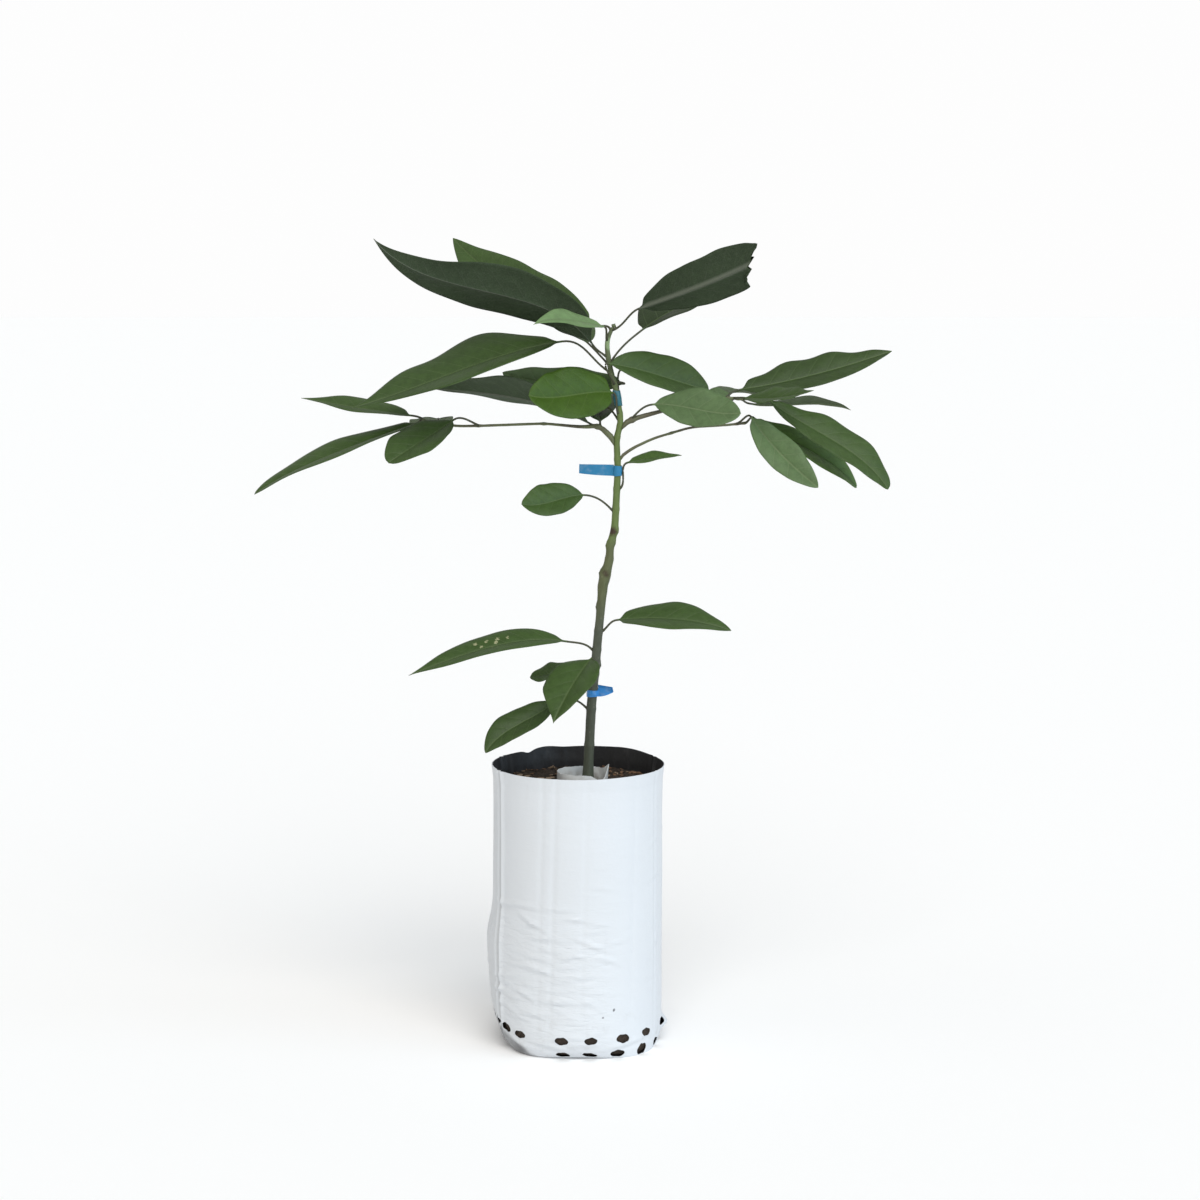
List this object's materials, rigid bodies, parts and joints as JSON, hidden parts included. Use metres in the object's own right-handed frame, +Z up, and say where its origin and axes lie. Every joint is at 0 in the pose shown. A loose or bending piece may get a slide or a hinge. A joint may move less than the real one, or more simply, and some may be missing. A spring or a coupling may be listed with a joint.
{
  "type": "potted fruit tree sapling",
  "caption": "Young grafted broad-leaved fruit tree on its root ball in a white grow bag, with a thin leaning stem, slender boughs and large pointed leaves.",
  "frame": {"origin": "middle of the grow bag's flat underside, level with the floor", "axes": "+Z up, along the stem; -Y is the front that the picture shows; +X to the right in that view"},
  "size_m": [0.6333, 0.284, 0.8072],
  "materials": {
    "bag_film": "satin white film, black inside",
    "potting_mix": "matt dark bark and fibre mix",
    "sleeve_film": "satin clear-white film",
    "stem_bark": "satin green-brown young bark",
    "bough_bark": "satin green young bark",
    "leaf_green": "soft sheen",
    "leaf_dark": "soft sheen, shaded side",
    "leaf_bright": "soft sheen",
    "leaf_pale": "soft sheen, young or pale side",
    "tape": "satin blue tape"
  },
  "bodies": {
    "root": {"grow_bag": "bag_film", "root_ball": "potting_mix", "inner_sleeve": "sleeve_film", "trunk": "stem_bark", "left_bough": "bough_bark", "right_bough": "bough_bark", "lower_right_bough": "bough_bark", "top_leaf_1": "leaf_dark", "top_leaf_2": "leaf_green", "top_leaf_3": "leaf_pale", "top_leaf_4": "leaf_dark", "top_leaf_5": "leaf_green", "top_leaf_6": "leaf_green", "top_leaf_7": "leaf_dark", "top_leaf_8": "leaf_bright", "top_leaf_9": "leaf_green", "left_leaf_1": "leaf_dark", "left_leaf_2": "leaf_dark", "left_leaf_3": "leaf_green", "left_leaf_4": "leaf_green", "left_leaf_5": "leaf_green", "right_leaf_1": "leaf_pale", "right_leaf_2": "leaf_pale", "right_leaf_3": "leaf_green", "right_leaf_4": "leaf_green", "right_leaf_5": "leaf_green", "right_leaf_6": "leaf_green", "lower_right_leaf_1": "leaf_green", "lower_right_leaf_2": "leaf_pale", "back_leaf_1": "leaf_green", "back_leaf_2": "leaf_green", "back_leaf_3": "leaf_green", "back_leaf_4": "leaf_green", "back_leaf_5": "leaf_green", "middle_leaf_1": "leaf_green", "middle_leaf_2": "leaf_green", "foot_leaf_1": "leaf_green", "foot_leaf_2": "leaf_green", "foot_leaf_3": "leaf_green", "foot_leaf_4": "leaf_green", "foot_leaf_5": "leaf_green", "upper_tie": "tape", "leader_tie": "tape", "lower_tie": "tape"}
  },
  "joints": []
}
